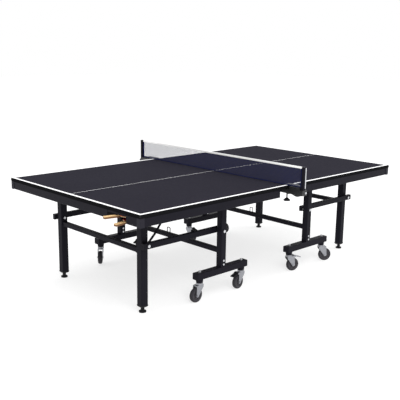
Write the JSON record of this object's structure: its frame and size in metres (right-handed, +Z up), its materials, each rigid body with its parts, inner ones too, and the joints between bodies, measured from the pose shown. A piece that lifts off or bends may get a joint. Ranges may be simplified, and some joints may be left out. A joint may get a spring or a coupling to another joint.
{
  "type": "ping pong table",
  "caption": "Folding roll-away table tennis table in two halves on braked swivel casters, with steel frame, levelling feet, clamp-on net and racket pockets.",
  "frame": {"origin": "point on the floor under the middle of the net line", "axes": "+X along the table towards the half that carries the net, +Y across the table away from the side shown in front, +Z up"},
  "size_m": [2.8176, 1.848, 0.9125],
  "materials": {
    "table_top": "matte painted board",
    "powder_coat": "satin powder coat",
    "grey_plastic": "matte",
    "black_plastic": "fine texture",
    "zinc": "galvanised",
    "foot_plastic": "matte",
    "wheel_tyre": "matte",
    "net_fabric": "woven mesh with white tape",
    "racket": "wood with rubber faces"
  },
  "bodies": {
    "left_carriage": {"left_caster_bars": "powder_coat", "left_posts": "powder_coat", "left_cross_rail": "powder_coat", "left_carriage_bolts": "zinc"},
    "left_top": {"left_board": "table_top", "left_top_frame": "powder_coat", "left_corner_caps": "grey_plastic", "left_hinge_brackets": "powder_coat", "left_racket_pocket": "black_plastic"},
    "left_legs": {"left_leg_frame": "powder_coat", "left_leg_caps": "black_plastic", "left_leg_bolts": "zinc"},
    "left_links": {"left_link_bars": "powder_coat"},
    "left_stay": {"left_locking_stay": "powder_coat"},
    "left_far_foot": {"left_far_leveller": "foot_plastic"},
    "left_far_inner_caster": {"left_far_inner_fork": "zinc"},
    "left_far_inner_roller": {"left_far_inner_wheel": "wheel_tyre"},
    "left_far_inner_pedal": {"left_far_inner_brake_pedal": "black_plastic"},
    "left_far_outer_caster": {"left_far_outer_fork": "zinc"},
    "left_far_outer_roller": {"left_far_outer_wheel": "wheel_tyre"},
    "left_near_foot": {"left_near_leveller": "foot_plastic"},
    "left_near_inner_caster": {"left_near_inner_fork": "zinc"},
    "left_near_inner_roller": {"left_near_inner_wheel": "wheel_tyre"},
    "left_near_inner_pedal": {"left_near_inner_brake_pedal": "black_plastic"},
    "left_near_outer_caster": {"left_near_outer_fork": "zinc"},
    "left_near_outer_roller": {"left_near_outer_wheel": "wheel_tyre"},
    "right_carriage": {"right_caster_bars": "powder_coat", "right_posts": "powder_coat", "right_cross_rail": "powder_coat", "right_carriage_bolts": "zinc"},
    "right_top": {"right_board": "table_top", "right_top_frame": "powder_coat", "right_corner_caps": "grey_plastic", "right_hinge_brackets": "powder_coat", "right_racket_pocket": "black_plastic", "net_posts": "powder_coat", "net_clamps": "black_plastic", "net_cloth": "net_fabric"},
    "right_legs": {"right_leg_frame": "powder_coat", "right_leg_caps": "black_plastic", "right_leg_bolts": "zinc"},
    "right_links": {"right_link_bars": "powder_coat"},
    "right_stay": {"right_locking_stay": "powder_coat"},
    "right_near_foot": {"right_near_leveller": "foot_plastic"},
    "right_near_inner_caster": {"right_near_inner_fork": "zinc"},
    "right_near_inner_roller": {"right_near_inner_wheel": "wheel_tyre"},
    "right_near_inner_pedal": {"right_near_inner_brake_pedal": "black_plastic"},
    "right_near_outer_caster": {"right_near_outer_fork": "zinc"},
    "right_near_outer_roller": {"right_near_outer_wheel": "wheel_tyre"},
    "right_far_foot": {"right_far_leveller": "foot_plastic"},
    "right_far_inner_caster": {"right_far_inner_fork": "zinc"},
    "right_far_inner_roller": {"right_far_inner_wheel": "wheel_tyre"},
    "right_far_inner_pedal": {"right_far_inner_brake_pedal": "black_plastic"},
    "right_far_outer_caster": {"right_far_outer_fork": "zinc"},
    "right_far_outer_roller": {"right_far_outer_wheel": "wheel_tyre"},
    "near_net_screw": {"near_clamp_screw": "black_plastic"},
    "far_net_screw": {"far_clamp_screw": "black_plastic"},
    "upper_racket_body": {"upper_racket": "racket"},
    "lower_racket_body": {"lower_racket": "racket"}
  },
  "joints": [
    {"name": "left_top_fold", "type": "hinge", "parent": "left_carriage", "child": "left_top", "pos_m": [-0.43, 0, 0.7], "axis": [0, 1, 0], "range_deg": [0, 90]},
    {"name": "left_leg_swing", "type": "hinge", "parent": "left_top", "child": "left_legs", "pos_m": [-1.06, 0, 0.7], "axis": [0, 1, 0], "range_deg": [-90, 0]},
    {"name": "left_link_swing", "type": "hinge", "parent": "left_carriage", "child": "left_links", "pos_m": [-0.49, 0, 0.47], "axis": [0, 1, 0], "range_deg": [0, 90]},
    {"name": "left_stay_swing", "type": "hinge", "parent": "left_top", "child": "left_stay", "pos_m": [-0.842, -0.425, 0.665], "axis": [0, 1, 0], "range_deg": [-131.5, 0]},
    {"name": "left_far_foot_screw", "type": "slide", "parent": "left_legs", "child": "left_far_foot", "axis": [0, 0, 1], "range_m": [0, 0.014]},
    {"name": "left_far_inner_swivel", "type": "hinge", "parent": "left_carriage", "child": "left_far_inner_caster", "pos_m": [-0.28, 0.58, 0.126], "axis": [0, 0, 1], "continuous": true},
    {"name": "left_far_inner_roll", "type": "hinge", "parent": "left_far_inner_caster", "child": "left_far_inner_roller", "pos_m": [-0.31289, 0.56803, 0.053], "axis": [0.342, -0.9397, 0], "continuous": true},
    {"name": "left_far_inner_brake", "type": "hinge", "parent": "left_far_inner_caster", "child": "left_far_inner_pedal", "pos_m": [-0.32699, 0.5629, 0.121], "axis": [0.342, -0.9397, 0], "range_deg": [0, 9]},
    {"name": "left_far_outer_swivel", "type": "hinge", "parent": "left_carriage", "child": "left_far_outer_caster", "pos_m": [-0.7, 0.58, 0.126], "axis": [0, 0, 1], "continuous": true},
    {"name": "left_far_outer_roll", "type": "hinge", "parent": "left_far_outer_caster", "child": "left_far_outer_roller", "pos_m": [-0.72431, 0.55482, 0.053], "axis": [0.7193, -0.6947, 0], "continuous": true},
    {"name": "left_near_foot_screw", "type": "slide", "parent": "left_legs", "child": "left_near_foot", "axis": [0, 0, 1], "range_m": [0, 0.014]},
    {"name": "left_near_inner_swivel", "type": "hinge", "parent": "left_carriage", "child": "left_near_inner_caster", "pos_m": [-0.28, -0.58, 0.126], "axis": [0, 0, 1], "continuous": true},
    {"name": "left_near_inner_roll", "type": "hinge", "parent": "left_near_inner_caster", "child": "left_near_inner_roller", "pos_m": [-0.31474, -0.58427, 0.053], "axis": [0.1219, -0.9925, 0], "continuous": true},
    {"name": "left_near_inner_brake", "type": "hinge", "parent": "left_near_inner_caster", "child": "left_near_inner_pedal", "pos_m": [-0.32963, -0.58609, 0.121], "axis": [0.1219, -0.9925, 0], "range_deg": [0, 9]},
    {"name": "left_near_outer_swivel", "type": "hinge", "parent": "left_carriage", "child": "left_near_outer_caster", "pos_m": [-0.7, -0.58, 0.126], "axis": [0, 0, 1], "continuous": true},
    {"name": "left_near_outer_roll", "type": "hinge", "parent": "left_near_outer_caster", "child": "left_near_outer_roller", "pos_m": [-0.73498, -0.58122, 0.053], "axis": [0.0349, -0.9994, 0], "continuous": true},
    {"name": "right_top_fold", "type": "hinge", "parent": "right_carriage", "child": "right_top", "pos_m": [0.43, 0, 0.7], "axis": [0, -1, 0], "range_deg": [0, 90], "deforming": ["net_cloth"]},
    {"name": "right_leg_swing", "type": "hinge", "parent": "right_top", "child": "right_legs", "pos_m": [1.06, 0, 0.7], "axis": [0, -1, 0], "range_deg": [-90, 0]},
    {"name": "right_link_swing", "type": "hinge", "parent": "right_carriage", "child": "right_links", "pos_m": [0.49, 0, 0.47], "axis": [0, -1, 0], "range_deg": [0, 90]},
    {"name": "right_stay_swing", "type": "hinge", "parent": "right_top", "child": "right_stay", "pos_m": [0.842, 0.425, 0.665], "axis": [0, -1, 0], "range_deg": [-131.5, 0]},
    {"name": "right_near_foot_screw", "type": "slide", "parent": "right_legs", "child": "right_near_foot", "axis": [0, 0, 1], "range_m": [0, 0.014]},
    {"name": "right_near_inner_swivel", "type": "hinge", "parent": "right_carriage", "child": "right_near_inner_caster", "pos_m": [0.28, -0.58, 0.126], "axis": [0, 0, 1], "continuous": true},
    {"name": "right_near_inner_roll", "type": "hinge", "parent": "right_near_inner_caster", "child": "right_near_inner_roller", "pos_m": [0.31329, -0.59082, 0.053], "axis": [0.309, 0.9511, 0], "continuous": true},
    {"name": "right_near_inner_brake", "type": "hinge", "parent": "right_near_inner_caster", "child": "right_near_inner_pedal", "pos_m": [0.32755, -0.59545, 0.121], "axis": [0.309, 0.9511, 0], "range_deg": [0, 9]},
    {"name": "right_near_outer_swivel", "type": "hinge", "parent": "right_carriage", "child": "right_near_outer_caster", "pos_m": [0.7, -0.58, 0.126], "axis": [0, 0, 1], "continuous": true},
    {"name": "right_near_outer_roll", "type": "hinge", "parent": "right_near_outer_caster", "child": "right_near_outer_roller", "pos_m": [0.72935, -0.59906, 0.053], "axis": [0.5446, 0.8387, 0], "continuous": true},
    {"name": "right_far_foot_screw", "type": "slide", "parent": "right_legs", "child": "right_far_foot", "axis": [0, 0, 1], "range_m": [0, 0.014]},
    {"name": "right_far_inner_swivel", "type": "hinge", "parent": "right_carriage", "child": "right_far_inner_caster", "pos_m": [0.28, 0.58, 0.126], "axis": [0, 0, 1], "continuous": true},
    {"name": "right_far_inner_roll", "type": "hinge", "parent": "right_far_inner_caster", "child": "right_far_inner_roller", "pos_m": [0.28122, 0.54502, 0.053], "axis": [0.9994, 0.0349, 0], "continuous": true},
    {"name": "right_far_inner_brake", "type": "hinge", "parent": "right_far_inner_caster", "child": "right_far_inner_pedal", "pos_m": [0.28175, 0.53003, 0.121], "axis": [0.9994, 0.0349, 0], "range_deg": [0, 9]},
    {"name": "right_far_outer_swivel", "type": "hinge", "parent": "right_carriage", "child": "right_far_outer_caster", "pos_m": [0.7, 0.58, 0.126], "axis": [0, 0, 1], "continuous": true},
    {"name": "right_far_outer_roll", "type": "hinge", "parent": "right_far_outer_caster", "child": "right_far_outer_roller", "pos_m": [0.70366, 0.54519, 0.053], "axis": [0.9945, 0.1045, 0], "continuous": true},
    {"name": "halves_roll_apart", "type": "slide", "parent": "left_carriage", "child": "right_carriage", "axis": [1, 0, 0], "range_m": [0, 0.3]},
    {"name": "near_net_screw_turn", "type": "slide", "parent": "right_top", "child": "near_net_screw", "axis": [0, 0, -1], "range_m": [0, 0.01]},
    {"name": "far_net_screw_turn", "type": "slide", "parent": "right_top", "child": "far_net_screw", "axis": [0, 0, -1], "range_m": [0, 0.01]},
    {"name": "upper_racket_slide_out", "type": "slide", "parent": "left_top", "child": "upper_racket_body", "axis": [-1, 0, 0], "range_m": [0, 0.2]},
    {"name": "lower_racket_slide_out", "type": "slide", "parent": "left_top", "child": "lower_racket_body", "axis": [-1, 0, 0], "range_m": [0, 0.2]}
  ],
  "couplings": [
    {"joint": "left_leg_swing", "follows": "left_top_fold", "ratio": -1},
    {"joint": "left_link_swing", "follows": "left_top_fold", "ratio": 1},
    {"joint": "left_stay_swing", "follows": "left_top_fold", "ratio": -1.4611},
    {"joint": "right_leg_swing", "follows": "right_top_fold", "ratio": -1},
    {"joint": "right_link_swing", "follows": "right_top_fold", "ratio": 1},
    {"joint": "right_stay_swing", "follows": "right_top_fold", "ratio": -1.4611}
  ]
}
